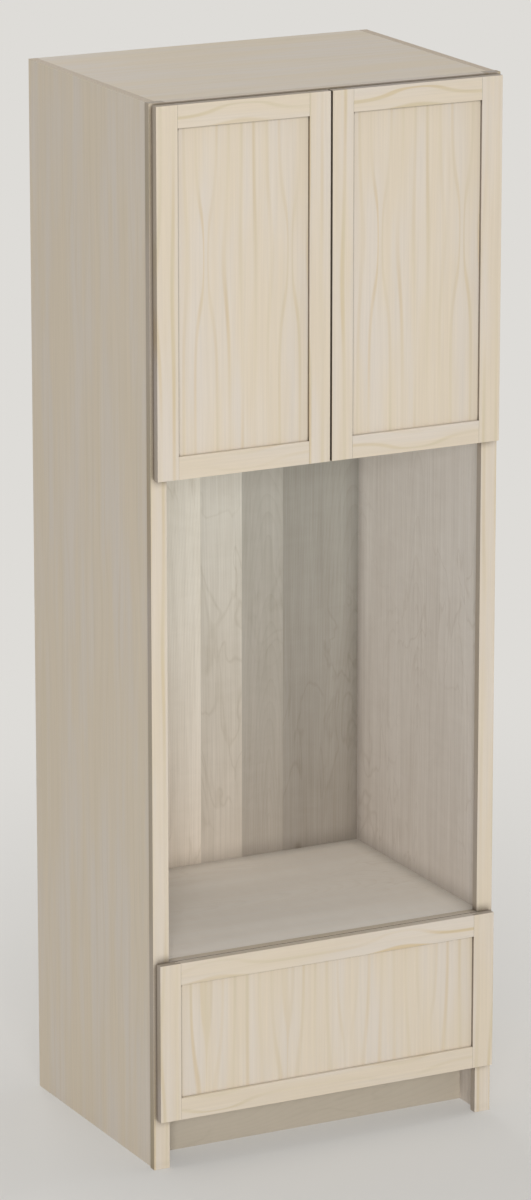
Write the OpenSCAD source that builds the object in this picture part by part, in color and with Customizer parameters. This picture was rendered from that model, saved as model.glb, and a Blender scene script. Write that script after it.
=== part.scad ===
// Tall face-frame cabinet for a built-in oven: a two-door cupboard above an
// open oven recess, and one wide drawer above a recessed toe space.
// X runs along the front, Y from the front to the back, Z up.
// The origin is on the floor, under the middle of the whole cabinet.

/* [Case] */
// Width across the face frame
case_w = 838.2; // [700:0.1:1050]
// Height from the floor to the top
case_h = 2362.2; // [1900:0.1:2900]
// Depth from the front of the face frame to the back
case_d = 603.25; // [500:0.05:760]
// Thickness of the two side panels
side_t = 19; // [15:0.5:25]
// Thickness of the top, the floors and the oven deck
panel_t = 19; // [15:0.5:25]
// Thickness of the back panel
back_t = 6.35; // [4:0.05:9]
// Depth of the housings in the sides that hold the floors and the deck
housing_d = 6; // [3:0.5:9]
// Width of the rebate in each side that holds the back panel
rebate_w = 9.5; // [5:0.5:12]
// How far each floor lies below the top of the face-frame rail before it
floor_drop = 2.5; // [0:0.5:6]
// Height of the toe space
kick_h = 114.3; // [80:0.1:160]
// Distance of the toe board behind the face frame
kick_recess = 95.25; // [60:0.05:130]
// Thickness of the toe board
kick_t = 19; // [12:0.5:25]

/* [Face frame] */
// Thickness of the face frame
frame_t = 19.05; // [16:0.05:25]
// Width of the two face-frame stiles
stile_w = 38.1; // [37:0.1:60]
// Height of the four face-frame rails
rail_h = 38.1; // [30:0.1:60]
// How far the face frame stands out past each side panel
side_overhang = 4; // [0:0.5:8]
// Length of the tenons on the rails
tenon_l = 10; // [5:0.5:20]
// Thickness of the tenons
tenon_t = 6; // [4:0.5:8]
// Shoulder above and below each tenon
tenon_shoulder = 7; // [3:0.5:12]

/* [Oven recess] */
// Height of the sill of the oven recess above the floor
sill_z = 475; // [430:0.5:700]
// Height of the oven recess
recess_h = 1079.3; // [600:0.1:1200]

/* [Doors and drawer front] */
// Thickness of the doors and the drawer front
front_t = 19; // [18:0.5:22]
// Gap between the face frame and the fronts, filled by the bumpers
front_gap = 3; // [3:0.1:4]
// Width of the stiles and rails in the fronts
member_w = 50; // [48:0.5:90]
// How far the fronts lie over each face-frame stile, which the hinges set
overlay = 31.75; // [25:0.05:32.5]
// Distance from the doors to the top of the face frame
top_reveal = 3.8; // [0:0.1:12]
// Distance from the drawer front to the bottom of the bottom rail
bottom_reveal = 1; // [0:0.1:12]
// Gap between the two doors
meeting_gap = 4.8; // [2:0.1:8]
// How far the flat panels lie behind the front faces
panel_recess = 8; // [4:0.5:9]
// Thickness of the flat panels, and of the grooves that hold them
flat_t = 6.35; // [5:0.05:8]
// Depth of those grooves
groove_d = 9.5; // [5:0.5:10]
// Room for the flat panels to swell, at each edge
flat_slack = 1; // [0.2:0.1:2]

/* [Hinges] */
// Diameter of the hinge cup bore in the door
cup_d = 35; // [35:0.5:36]
// Depth of the hinge cup bore
cup_depth = 13; // [12.5:0.1:13.5]
// Wood left between the bore and the edge of the door
cup_edge = 3; // [3:0.1:3.5]
// Wall of the hinge cup
cup_wall = 0.8; // [0.6:0.1:1]
// Diameter of the hinge pin
pin_d = 3; // [2.5:0.1:3.2]
// Distance of the pin from the edge of the door
pin_edge = 7.5; // [7.3:0.1:7.6]
// Depth of the pin below the back of the door
pin_depth = 9; // [8.8:0.1:9]
// Thickness of the hinge arm
arm_t = 1.6; // [1.2:0.1:1.8]
// Distance from each end of a door to its hinge
hinge_end = 90; // [60:1:150]

/* [Drawer] */
// Height of the drawer box
box_h = 235; // [120:1:250]
// Length of the drawer box and of its slides
box_l = 533.4; // [400:0.1:540]
// Thickness of the sides and ends of the drawer box
box_t = 15; // [12:0.5:16]
// Height of the drawer box above the bottom rail
box_lift = 14; // [8:0.5:25]
// Distance from the lower edge of the box to its bottom board
bottom_lift = 12; // [8:0.5:20]
// Space for the slide on each side of the box
slide_space = 12.7; // [12.7:0.1:13.5]
// Height of the slide
slide_h = 45; // [42:0.5:50]
// Thickness of the slide's sheet steel
slide_t = 1.2; // [1:0.1:1.3]
// Diameter of the balls in the slide
ball_d = 3.5; // [3:0.1:3.6]
// Number of balls in each row
ball_count = 9; // [4:1:12]

/* [Shelf] */
// Thickness of the shelf
shelf_t = 19; // [15:0.5:25]
// Gap between each end of the shelf and the side panel
shelf_slack = 2; // [1:0.5:4]
// Distance of the shelf behind the face frame
shelf_setback = 20; // [6:1:80]
// Diameter of the shelf pin holes
pin_hole_d = 5; // [4:0.1:6.5]
// Distance between shelf pin holes
pin_pitch = 64; // [32:1:96]

/* [Wall fixing] */
// Height of the rails behind the top and under the deck
nailer_h = 89; // [60:1:120]
// Distance between the two wall screw holes
wall_pitch = 406.4; // [300:0.1:620]
// Diameter of the wall screw holes
wall_hole_d = 5; // [4:0.1:8]

/* [Hidden] */
$fn = 48;
// Cuts run this far past the faces that they open
cut = 1;
// Front to back
whole_d = case_d + front_gap + front_t;
front_y = -whole_d / 2;
door_back_y = front_y + front_t;
frame_y = door_back_y + front_gap;
case_y = frame_y + frame_t;
back_y = frame_y + case_d;
inner_back_y = back_y - back_t;
// Side to side
half_w = case_w / 2;
open_x = half_w - stile_w;
side_out = half_w - side_overhang;
side_in = side_out - side_t;
front_half = open_x + overlay;
door_in = meeting_gap / 2;
// Bottom to top: the lower edge of each rail, and the top of each floor
rail_zs = [kick_h, sill_z - rail_h, sill_z + recess_h, case_h - rail_h];
base_top = kick_h + rail_h - floor_drop;
deck_top = sill_z - floor_drop;
cupboard_top = rail_zs[2] + rail_h - floor_drop;
case_top_z = case_h - panel_t;
door_z0 = rail_zs[2];
door_z1 = case_h - top_reveal;
drawer_z0 = kick_h + bottom_reveal;
drawer_z1 = sill_z;
// Grooves for the flat panels
groove_y0 = front_y + panel_recess;
groove_y1 = groove_y0 + flat_t;
// Nailers and cleats
nailer_t = 19;
cleat_h = 38;
cleat_x = side_in - nailer_t;
cleat_z1 = deck_top - panel_t;
cleat_y1 = inner_back_y - nailer_t;
cleat_screw_ys = [for (i = [0.1, 0.5, 0.9]) case_y + i * (cleat_y1 - case_y)];
wall_hole_z = case_top_z - nailer_h / 2;
// Hinges: places in a door, from its edge, its back face and the hinge's height
hinge_zs = [door_z0 + hinge_end, door_z1 - hinge_end];
cup_x = cup_edge + cup_d / 2;
cup_fit = 0.05;
cup_out_r = cup_d / 2 - cup_fit;
cup_in_r = cup_out_r - cup_wall;
flange_t = 1.2;
flange_rim = 1.1;
flange_w = 12;
flange_h = 57;
flange_x = 30;
flange_screw_z = (flange_h - flange_w) / 2;
eye_w = 9;
eye_r = 2.7;
eye_clear = 0.05;
ear_gap = 0.3;
ear_t = 3;
pin_l = eye_w + 2 * (ear_gap + ear_t);
pin_press = 0.02;
arm_plate_h = 44;
arm_plate_w = 16;
arm_plate_in = 1;
arm_plate_y = front_gap + arm_plate_in + arm_plate_w / 2;
arm_screw_z = (arm_plate_h - arm_plate_w) / 2;
// Wood screws
screw_d = 3.5;
screw_hole_d = 4.1;
head_d = 7;
head_h = 2;
cup_head_h = 1;
cup_screw_l = front_t - 3.5;
arm_screw_l = stile_w / 2;
cleat_screw_l = nailer_t + side_t * 0.6;
front_screw_l = box_t + front_t / 3;
slot_w = 0.9;
// Bumpers
bumper_d = 9;
bumper_clear = 0.1;
bumper_in = 24;
// Drawer box and slides
box_x = open_x - slide_space;
box_y0 = door_back_y;
box_y1 = box_y0 + box_l;
box_z0 = kick_h + rail_h + box_lift;
box_z1 = box_z0 + box_h;
box_groove_d = 6;
bottom_z = box_z0 + bottom_lift;
front_fix_xs = [for (i = [-0.8, 0.8]) i * (box_x - box_t)];
front_fix_zs = [for (i = [0.25, 0.75]) box_z0 + i * box_h];
slide_z = box_z0 + box_h / 3;
slide_y0 = frame_y + front_gap;
slide_y1 = slide_y0 + box_l;
ball_clear = 0.1;
ball_space = ball_d + 2 * ball_clear;
outer_half = slide_h / 2;
middle_half = outer_half - slide_t - ball_space;
inner_half = middle_half - slide_t - ball_space;
outer_lip = 9.6;
middle_web = 4.4;
middle_lip = 11.6;
inner_lip = 7;
outer_ball_u = 7;
inner_ball_u = 9.2;
ball_pitch = 25;
strip_t = 0.6;
strip_w = 2.6;
slide_head_h = 1.6;
slide_screw_l = 13;
slide_screw_in = 40;
slide_screw_ys = [slide_y0 + slide_screw_in, (slide_y0 + slide_y1) / 2,
                  slide_y1 - slide_screw_in];
spacer_h = 76;
spacer_back = 20;
// Shelf and its pins
pin_margin = 120;
pin_hole_depth = 10;
cupboard_h = case_top_z - cupboard_top;
pin_n = floor((cupboard_h - 2 * pin_margin) / pin_pitch) + 1;
pin_z0 = cupboard_top + (cupboard_h - (pin_n - 1) * pin_pitch) / 2;
pin_zs = [for (i = [0 : pin_n - 1]) pin_z0 + i * pin_pitch];
shelf_pin_z = pin_zs[floor(pin_n / 2)];
pin_inset = 60;
pin_front_y = case_y + pin_inset;
pin_back_y = inner_back_y - nailer_t - pin_inset;
pin_fit = 0.05;
pin_tab_l = 12;
pin_tab_w = 10;
pin_tab_t = 2;
shelf_z = shelf_pin_z + pin_hole_d / 2;
// Colours
maple = [0.84, 0.79, 0.72];
maple_side = [0.76, 0.7, 0.62];
plywood = [0.7, 0.66, 0.6];
birch = [0.85, 0.76, 0.6];
steel = [0.66, 0.67, 0.68];
clear_rubber = [0.85, 0.86, 0.84];

// ---------------------------------------------------------------- helpers

// A straight board between two opposite corners, given in any order
module board(a, b) {
    translate([min(a.x, b.x), min(a.y, b.y), min(a.z, b.z)])
        cube([abs(b.x - a.x), abs(b.y - a.y), abs(b.z - a.z)]);
}

// What is drawn for the right side, on the left side
module on_left() {
    mirror([1, 0, 0]) children();
}

// What is drawn for the right side, on both sides
module on_both() {
    children();
    on_left() children();
}

// A round bar or hole along Y, from one depth to another
module rod_y(x, z, d, y0, y1) {
    translate([x, y0, z]) rotate([-90, 0, 0]) cylinder(d = d, h = y1 - y0);
}

// A round bar or hole along X, from one place to another
module rod_x(y, z, d, x0, x1) {
    translate([x0, y, z]) rotate([0, 90, 0]) cylinder(d = d, h = x1 - x0);
}

// A screw driven along -Z from the origin: tapered head with a cross recess,
// plain shank and point
module screw(l, head_w, head_t) {
    tip = screw_d;
    difference() {
        union() {
            cylinder(d1 = head_w, d2 = head_w * 0.8, h = head_t);
            translate([0, 0, tip - l]) cylinder(d = screw_d, h = l - tip);
            translate([0, 0, -l]) cylinder(d1 = screw_d / 4, d2 = screw_d, h = tip);
        }
        for (a = [0, 90])
            rotate([0, 0, a])
                translate([-head_w * 0.3, -slot_w / 2, head_t / 2])
                    cube([head_w * 0.6, slot_w, head_t]);
    }
}

// ---------------------------------------------------------------- case

module side_panel() {
    color(maple_side)
        difference() {
            board([side_in, case_y, 0], [side_out, back_y, case_h]);
            for (top = [base_top, deck_top, cupboard_top])
                board([side_in - cut, case_y - cut, top - panel_t],
                      [side_in + housing_d, inner_back_y, top]);
            board([side_in - cut, inner_back_y, -cut],
                  [side_in + rebate_w, back_y + cut, case_top_z]);
            for (y = [pin_front_y, pin_back_y])
                for (z = pin_zs)
                    rod_x(y, z, pin_hole_d, side_in - cut, side_in + pin_hole_depth);
        }
}

module housed_panel(top) {
    board([-side_in - housing_d, case_y, top - panel_t],
          [side_in + housing_d, inner_back_y, top]);
}

module top_panel() {
    color(maple_side)
        board([-side_in, case_y, case_top_z], [side_in, back_y, case_h]);
}

module wall_holes() {
    for (x = [-wall_pitch / 2, wall_pitch / 2])
        rod_y(x, wall_hole_z, wall_hole_d, inner_back_y - nailer_t - cut, back_y + cut);
}

module back_panel() {
    color(plywood)
        difference() {
            board([-side_in - rebate_w, inner_back_y, 0],
                  [side_in + rebate_w, back_y, case_top_z]);
            wall_holes();
        }
}

module hanging_rail() {
    color(plywood)
        difference() {
            board([-side_in, inner_back_y - nailer_t, case_top_z - nailer_h],
                  [side_in, inner_back_y, case_top_z]);
            wall_holes();
        }
}

module deck_back_rail() {
    z1 = deck_top - panel_t;
    color(plywood)
        board([-side_in, inner_back_y - nailer_t, z1 - nailer_h],
              [side_in, inner_back_y, z1]);
}

module toe_board() {
    y0 = frame_y + kick_recess;
    color(maple_side)
        board([-side_in, y0, 0], [side_in, y0 + kick_t, base_top - panel_t]);
}

module deck_cleats() {
    color(plywood)
        on_both()
            difference() {
                board([cleat_x, case_y, cleat_z1 - cleat_h], [side_in, cleat_y1, cleat_z1]);
                for (y = cleat_screw_ys)
                    rod_x(y, cleat_z1 - cleat_h / 2, screw_hole_d,
                          cleat_x - cut, side_in + cut);
            }
}

module cleat_screws() {
    color(steel)
        on_both()
            for (y = cleat_screw_ys)
                translate([cleat_x, y, cleat_z1 - cleat_h / 2])
                    rotate([0, -90, 0]) screw(cleat_screw_l, head_d, head_h);
}

// ---------------------------------------------------------------- face frame

module tenon(z, grow) {
    y = frame_y + (frame_t - tenon_t) / 2;
    board([open_x - grow, y, z + tenon_shoulder],
          [open_x + tenon_l, y + tenon_t, z + rail_h - tenon_shoulder]);
}

module frame_stile() {
    color(maple)
        difference() {
            board([open_x, frame_y, 0], [half_w, case_y, case_h]);
            for (z = rail_zs)
                tenon(z, cut);
        }
}

module frame_rail(z) {
    color(maple) {
        board([-open_x, frame_y, z], [open_x, case_y, z + rail_h]);
        on_both() tenon(z, cut);
    }
}

// ---------------------------------------------------------------- shelf

module shelf() {
    color(plywood)
        board([shelf_slack - side_in, case_y + shelf_setback, shelf_z],
              [side_in - shelf_slack, inner_back_y - shelf_slack, shelf_z + shelf_t]);
}

module shelf_pins() {
    tab_z1 = shelf_pin_z + pin_hole_d / 2;
    color(steel)
        on_both()
            for (y = [pin_front_y, pin_back_y]) {
                rod_x(y, shelf_pin_z, pin_hole_d - 2 * pin_fit,
                      side_in - pin_tab_t, side_in + pin_hole_depth - cut);
                board([side_in - pin_tab_t, y - pin_tab_w / 2, shelf_pin_z - pin_tab_w / 2],
                      [side_in, y + pin_tab_w / 2, tab_z1]);
                board([side_in - pin_tab_l, y - pin_tab_w / 2, tab_z1 - pin_tab_t],
                      [side_in, y + pin_tab_w / 2, tab_z1]);
            }
}

// ---------------------------------------------------------------- fronts

// Upright member from x0 to x1, with the panel groove in its x1 edge
module front_stile(x0, x1, z0, z1) {
    side = sign(x1 - x0);
    difference() {
        board([x0, front_y, z0], [x1, door_back_y, z1]);
        board([x1 - side * groove_d, groove_y0, z0 - cut],
              [x1 + side * cut, groove_y1, z1 + cut]);
    }
}

// Level member between two uprights, with the panel groove in its z1 edge
module front_rail(x0, x1, z0, z1) {
    up = sign(z1 - z0);
    difference() {
        union() {
            board([x0, front_y, z0], [x1, door_back_y, z1]);
            board([x0 - groove_d, groove_y0, z0], [x1 + groove_d, groove_y1, z1]);
        }
        board([x0 - groove_d - cut, groove_y0, z1 - up * groove_d],
              [x1 + groove_d + cut, groove_y1, z1 + up * cut]);
    }
}

// Flat panel in the grooves round an opening
module flat_panel(x0, x1, z0, z1) {
    grip = groove_d - flat_slack;
    board([x0 - grip, groove_y0, z0 - grip], [x1 + grip, groove_y1, z1 + grip]);
}

// ---------------------------------------------------------------- doors
// Drawn for the right door, which is hinged at its right edge.

module door_hinge_stile() {
    color(maple)
        difference() {
            front_stile(front_half, front_half - member_w, door_z0, door_z1);
            for (z = hinge_zs)
                rod_y(front_half - cup_x, z, cup_d, door_back_y - cup_depth, door_back_y + cut);
        }
}

module door_meeting_stile() {
    color(maple) front_stile(door_in, door_in + member_w, door_z0, door_z1);
}

module door_rail(z0, z1) {
    color(maple) front_rail(door_in + member_w, front_half - member_w, z0, z1);
}

module door_panel() {
    color(maple)
        flat_panel(door_in + member_w, front_half - member_w,
                   door_z0 + member_w, door_z1 - member_w);
}

// Moves a hinge part to both hinges of the right door: X then runs from the
// door's edge towards its middle, Y into the case, and Z is the hinge's height
module at_hinges() {
    for (z = hinge_zs)
        translate([front_half, door_back_y, z]) mirror([1, 0, 0]) children();
}

module hinge_cup() {
    difference() {
        union() {
            rod_y(cup_x, 0, 2 * cup_out_r, -cup_depth, 0);
            rod_y(cup_x, 0, 2 * (cup_out_r + flange_rim), 0, flange_t);
            board([flange_x - flange_w / 2, 0, -flange_screw_z],
                  [flange_x + flange_w / 2, flange_t, flange_screw_z]);
            for (z = [-flange_screw_z, flange_screw_z])
                rod_y(flange_x, z, flange_w, 0, flange_t);
        }
        rod_y(cup_x, 0, 2 * cup_in_r, cup_wall - cup_depth, flange_t + cut);
        for (z = [-flange_screw_z, flange_screw_z])
            rod_y(flange_x, z, screw_hole_d, -cut, flange_t + cut);
    }
    difference() {
        intersection() {
            rod_y(cup_x, 0, 2 * cup_in_r + cup_wall, cup_wall / 2 - cup_depth, 0);
            for (s = [-1, 1])
                board([0, -cup_depth, s * (eye_w / 2 + ear_gap)],
                      [pin_edge + pin_d, -pin_depth + pin_d, s * pin_l / 2]);
        }
        translate([pin_edge, -pin_depth, -pin_l])
            cylinder(d = pin_d - 2 * pin_press, h = 2 * pin_l);
    }
}

module hinge_cups() {
    color(steel) at_hinges() hinge_cup();
}

module hinge_pins() {
    color(steel)
        at_hinges()
            translate([pin_edge, -pin_depth, -pin_l / 2]) cylinder(d = pin_d, h = pin_l);
}

module cup_screws() {
    color(steel)
        at_hinges()
            for (z = [-flange_screw_z, flange_screw_z])
                translate([flange_x, flange_t, z])
                    rotate([-90, 0, 0]) screw(cup_screw_l, head_d, cup_head_h);
}

module hinge_arm() {
    leg_y = -pin_depth - eye_r;
    difference() {
        union() {
            translate([pin_edge, -pin_depth, -eye_w / 2]) cylinder(r = eye_r, h = eye_w);
            board([pin_edge, leg_y, -eye_w / 2], [overlay + arm_t, leg_y + arm_t, eye_w / 2]);
            board([overlay, leg_y, -eye_w / 2], [overlay + arm_t, arm_plate_y, eye_w / 2]);
            board([overlay, arm_plate_y - arm_plate_w / 2, -arm_screw_z],
                  [overlay + arm_t, arm_plate_y + arm_plate_w / 2, arm_screw_z]);
            for (z = [-arm_screw_z, arm_screw_z])
                rod_x(arm_plate_y, z, arm_plate_w, overlay, overlay + arm_t);
        }
        translate([pin_edge, -pin_depth, -eye_w])
            cylinder(d = pin_d + 2 * eye_clear, h = 2 * eye_w);
        for (z = [-arm_screw_z, arm_screw_z])
            rod_x(arm_plate_y, z, screw_hole_d, overlay - cut, overlay + arm_t + cut);
    }
}

module hinge_arms() {
    color(steel) on_both() at_hinges() hinge_arm();
}

module arm_screws() {
    color(steel)
        on_both()
            at_hinges()
                for (z = [-arm_screw_z, arm_screw_z])
                    translate([overlay + arm_t, arm_plate_y, z])
                        rotate([0, 90, 0]) screw(arm_screw_l, head_d, head_h);
}

module bumper(x, z) {
    rod_y(x, z, bumper_d, door_back_y, frame_y - bumper_clear);
}

module door_bumpers() {
    color(clear_rubber)
        for (z = [door_z0 + rail_h / 2, door_z1 - rail_h / 2])
            bumper(door_in + bumper_in, z);
}

// ---------------------------------------------------------------- slides
// Drawn for the right side. A place across the slide is measured from the
// case towards the box.

// Sheet-steel channel: an upright web and two flanges that reach to the lip
module slide_channel(web, lip, half) {
    w = open_x - web;
    inward = sign(web - lip);
    board([w, slide_y0, slide_z - half],
          [w + inward * slide_t, slide_y1, slide_z + half]);
    for (s = [-1, 1])
        board([w, slide_y0, slide_z + s * half],
              [open_x - lip, slide_y1, slide_z + s * (half - slide_t)]);
}

module slide_holes() {
    for (y = slide_screw_ys)
        rod_x(y, slide_z, screw_hole_d, open_x - slide_space - cut, open_x + cut);
}

module slide_outer_members() {
    color(steel)
        on_both()
            difference() {
                slide_channel(0, outer_lip, outer_half);
                slide_holes();
            }
}

module slide_middle_members() {
    color(steel) on_both() slide_channel(middle_web, middle_lip, middle_half);
}

module slide_inner_members() {
    color(steel)
        on_both()
            difference() {
                slide_channel(slide_space, inner_lip, inner_half);
                slide_holes();
            }
}

module slide_outer_screws() {
    color(steel)
        on_both()
            for (y = slide_screw_ys)
                translate([open_x - slide_t, y, slide_z])
                    rotate([0, -90, 0]) screw(slide_screw_l, head_d, slide_head_h);
}

module slide_inner_screws() {
    color(steel)
        on_both()
            for (y = slide_screw_ys)
                translate([box_x + slide_t, y, slide_z])
                    rotate([0, 90, 0]) screw(slide_screw_l, head_d, slide_head_h);
}

// Two rows of balls, each held in a strip, at a height above and below the middle
module ball_rows(u, rise) {
    y_mid = (slide_y0 + slide_y1) / 2;
    row_l = (ball_count - 1) * ball_pitch;
    for (s = [-1, 1])
        translate([open_x - u, y_mid, slide_z + s * rise]) {
            board([-strip_w / 2, -row_l / 2 - ball_d, -strip_t / 2],
                  [strip_w / 2, row_l / 2 + ball_d, strip_t / 2]);
            for (i = [0 : ball_count - 1])
                translate([0, i * ball_pitch - row_l / 2, 0]) sphere(d = ball_d);
        }
}

module slide_outer_balls() {
    color(steel) on_both() ball_rows(outer_ball_u, outer_half - slide_t - ball_space / 2);
}

module slide_inner_balls() {
    color(steel) on_both() ball_rows(inner_ball_u, middle_half - slide_t - ball_space / 2);
}

module slide_spacers() {
    color(plywood)
        on_both()
            board([open_x, case_y, slide_z - spacer_h / 2],
                  [side_in, slide_y1 + spacer_back, slide_z + spacer_h / 2]);
}

// ---------------------------------------------------------------- drawer box

module bottom_groove() {
    board([-box_x + box_t - box_groove_d, box_y0 + box_t - box_groove_d, bottom_z],
          [box_x - box_t + box_groove_d, box_y1 - box_t + box_groove_d, bottom_z + flat_t]);
}

module box_side() {
    color(birch)
        difference() {
            board([box_x - box_t, box_y0, box_z0], [box_x, box_y1, box_z1]);
            bottom_groove();
        }
}

module box_front() {
    color(birch)
        difference() {
            board([box_t - box_x, box_y0, box_z0], [box_x - box_t, box_y0 + box_t, box_z1]);
            bottom_groove();
            for (x = front_fix_xs)
                for (z = front_fix_zs)
                    rod_y(x, z, screw_hole_d, box_y0 - cut, box_y0 + box_t + cut);
        }
}

module box_back() {
    color(birch)
        difference() {
            board([box_t - box_x, box_y1 - box_t, box_z0], [box_x - box_t, box_y1, box_z1]);
            bottom_groove();
        }
}

module box_bottom() {
    color(birch) bottom_groove();
}

module drawer_stile() {
    color(maple) front_stile(front_half, front_half - member_w, drawer_z0, drawer_z1);
}

module drawer_rail(z0, z1) {
    color(maple) front_rail(member_w - front_half, front_half - member_w, z0, z1);
}

// The drawer's panel fills out to the back of the front, to take the fixings
module drawer_panel() {
    x = front_half - member_w;
    color(maple) {
        flat_panel(-x, x, drawer_z0 + member_w, drawer_z1 - member_w);
        board([flat_slack - x, groove_y0, drawer_z0 + member_w + flat_slack],
              [x - flat_slack, door_back_y, drawer_z1 - member_w - flat_slack]);
    }
}

// Screws from inside the box into the panel of the drawer front
module drawer_front_screws() {
    color(steel)
        for (x = front_fix_xs)
            for (z = front_fix_zs)
                translate([x, box_y0 + box_t, z])
                    rotate([-90, 0, 0]) screw(front_screw_l, head_d, head_h);
}

module drawer_bumpers() {
    color(clear_rubber)
        for (x = [bumper_in - front_half, front_half - bumper_in])
            for (z = [drawer_z0 + rail_h / 2, drawer_z1 - rail_h / 2])
                bumper(x, z);
}

// ---------------------------------------------------------------- nodes

on_left() side_panel();  // side_panel_left
side_panel();  // side_panel_right
top_panel();
color(plywood) housed_panel(cupboard_top);  // cupboard_floor
color(plywood) housed_panel(deck_top);  // oven_deck
color(plywood) housed_panel(base_top);  // base_panel
back_panel();
toe_board();
hanging_rail();
deck_back_rail();
deck_cleats();
cleat_screws();
on_left() frame_stile();  // frame_stile_left
frame_stile();  // frame_stile_right
frame_rail(rail_zs[0]);  // frame_bottom_rail
frame_rail(rail_zs[1]);  // frame_drawer_rail
frame_rail(rail_zs[2]);  // frame_cupboard_rail
frame_rail(rail_zs[3]);  // frame_top_rail
shelf();
shelf_pins();
on_left() door_hinge_stile();  // left_door_hinge_stile
on_left() door_meeting_stile();  // left_door_meeting_stile
on_left() door_rail(door_z1, door_z1 - member_w);  // left_door_top_rail
on_left() door_rail(door_z0, door_z0 + member_w);  // left_door_bottom_rail
on_left() door_panel();  // left_door_panel
on_left() hinge_cups();  // left_hinge_cups
on_left() hinge_pins();  // left_hinge_pins
on_left() cup_screws();  // left_cup_screws
on_left() door_bumpers();  // left_door_bumpers
door_hinge_stile();  // right_door_hinge_stile
door_meeting_stile();  // right_door_meeting_stile
door_rail(door_z1, door_z1 - member_w);  // right_door_top_rail
door_rail(door_z0, door_z0 + member_w);  // right_door_bottom_rail
door_panel();  // right_door_panel
hinge_cups();  // right_hinge_cups
hinge_pins();  // right_hinge_pins
cup_screws();  // right_cup_screws
door_bumpers();  // right_door_bumpers
hinge_arms();
arm_screws();
slide_spacers();
slide_outer_members();
slide_outer_screws();
slide_outer_balls();
slide_middle_members();
slide_inner_balls();
slide_inner_members();
slide_inner_screws();
on_left() box_side();  // box_side_left
box_side();  // box_side_right
box_front();
box_back();
box_bottom();
on_left() drawer_stile();  // drawer_left_stile
drawer_stile();  // drawer_right_stile
drawer_rail(drawer_z1, drawer_z1 - member_w);  // drawer_top_rail
drawer_rail(drawer_z0, drawer_z0 + member_w);  // drawer_bottom_rail
drawer_panel();
drawer_front_screws();
drawer_bumpers();
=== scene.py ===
"""Finishes for a tall oven housing cabinet, around its construction model.

Each operator dresses one group of pieces: the face frame, the doors, the drawer,
the case, the oven recess, the hardware, the studio. All lengths are in metres.
"""

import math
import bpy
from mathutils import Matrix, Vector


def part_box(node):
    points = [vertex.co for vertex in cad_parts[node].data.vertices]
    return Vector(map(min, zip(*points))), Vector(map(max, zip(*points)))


bl_info = {
    "name": "Oven Housing Finishes",
    "version": (1, 0, 0),
    "blender": (4, 5, 0),
    "location": "View3D > Sidebar > Cabinet",
    "description": "Gives a tall oven housing its woods, metals, floor and light",
    "category": "Object",
}

import bpy
from bpy.props import FloatProperty, FloatVectorProperty, PointerProperty
from mathutils import Vector

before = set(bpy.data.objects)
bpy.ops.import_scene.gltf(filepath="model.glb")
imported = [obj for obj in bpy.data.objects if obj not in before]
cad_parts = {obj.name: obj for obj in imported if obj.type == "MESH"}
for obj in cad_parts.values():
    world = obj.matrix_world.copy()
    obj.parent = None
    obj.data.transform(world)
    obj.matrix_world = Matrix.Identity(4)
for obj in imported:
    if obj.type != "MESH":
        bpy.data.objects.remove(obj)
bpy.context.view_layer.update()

MM = 0.001

# -------------------- the pieces

SIDES = ("left", "right")
FRAME_STILES = ("frame_stile_left", "frame_stile_right")
FRAME_RAILS = (
    "frame_bottom_rail",
    "frame_drawer_rail",
    "frame_cupboard_rail",
    "frame_top_rail",
)
LEVEL_BOARDS = ("oven_deck", "cupboard_floor", "base_panel", "shelf")
CROSS_RAILS = ("hanging_rail", "deck_back_rail")
RUNNING_BACK = ("deck_cleats", "slide_spacers")
BOX_SIDES = ("box_side_left", "box_side_right")
BOX_ENDS = ("box_front", "box_back")
SLIDE_MEMBERS = ("slide_outer_members", "slide_middle_members", "slide_inner_members")
BALL_ROWS = ("slide_outer_balls", "slide_inner_balls")
HINGE_PARTS = (
    "hinge_arms",
    "left_hinge_cups",
    "right_hinge_cups",
    "left_hinge_pins",
    "right_hinge_pins",
    "shelf_pins",
)
SCREWS = (
    "cleat_screws",
    "arm_screws",
    "slide_outer_screws",
    "slide_inner_screws",
    "drawer_front_screws",
    "left_cup_screws",
    "right_cup_screws",
)
BUMPERS = ("left_door_bumpers", "right_door_bumpers", "drawer_bumpers")

# Each piece's figure starts from a seed: a first one for its group, and steps from it.
# Board axes are in the order across the grain, along it, through the board.
UPRIGHT_FRONT = "XZY"
LEVEL_FRONT = "ZXY"
UPRIGHT_SIDE = "YZX"
LEVEL_SIDE = "ZYX"
LEVEL_FLAT = "YXZ"

# -------------------- the camera

# Fitted to the photograph: metres, degrees, and pixels of its 1200 px long side.
CAMERA_PLACE = (-5.5827, -10.9351, 4.5308)
CAMERA_YAW = 27.055
CAMERA_PITCH = -15.309
PHOTO_LONG_SIDE = 1200
FOCAL_PIXELS = 5766.2
SENSOR = 36.0


def linear(hex_colour):
    """Turns an sRGB colour written as hex into linear red, green, blue and alpha."""
    parts = [int(hex_colour[i : i + 2], 16) / 255 for i in (1, 3, 5)]
    return [p / 12.92 if p <= 0.04045 else ((p + 0.055) / 1.055) ** 2.4 for p in parts] + [1.0]


# -------------------- fixed colours

# Painted shade multiplied into the wood: at cut edges, in corners, and low on the tall sheets.
EDGE_PAINTED_SHADE = linear("#CFCDCE")
CORNER_SHADE = linear("#867F77")
SIDE_FOOT_PAINTED_SHADE = linear("#F0ECE9")
BACK_FOOT_PAINTED_SHADE = linear("#F1E8E3")

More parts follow.
